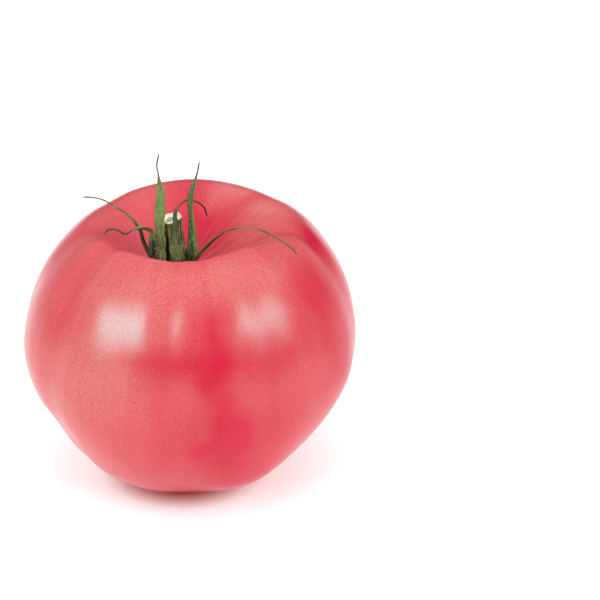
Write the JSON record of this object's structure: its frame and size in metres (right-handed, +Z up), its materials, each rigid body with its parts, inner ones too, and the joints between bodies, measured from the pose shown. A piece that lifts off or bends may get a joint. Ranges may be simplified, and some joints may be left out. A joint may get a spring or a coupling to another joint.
{
  "type": "pink tomato",
  "caption": "Ribbed pink beefsteak tomato resting on a small flat spot, with a sunken stem basin, a star of thin curling green sepals and a cut stem stub.",
  "frame": {"origin": "middle of the flat spot that the fruit rests on", "axes": "+Z up through the stem, -Y towards the front that the picture shows, +X to the right"},
  "size_m": [0.0998, 0.0964, 0.1093],
  "materials": {
    "pink_skin": "waxy, softly glossy tomato skin",
    "green_sepal": "matt, finely hairy green leaf",
    "green_bark": "matt green stalk, drying brown, with a pale cut end"
  },
  "bodies": {
    "root": {"fruit": "pink_skin", "calyx": "green_sepal", "stem": "green_bark"}
  },
  "joints": []
}
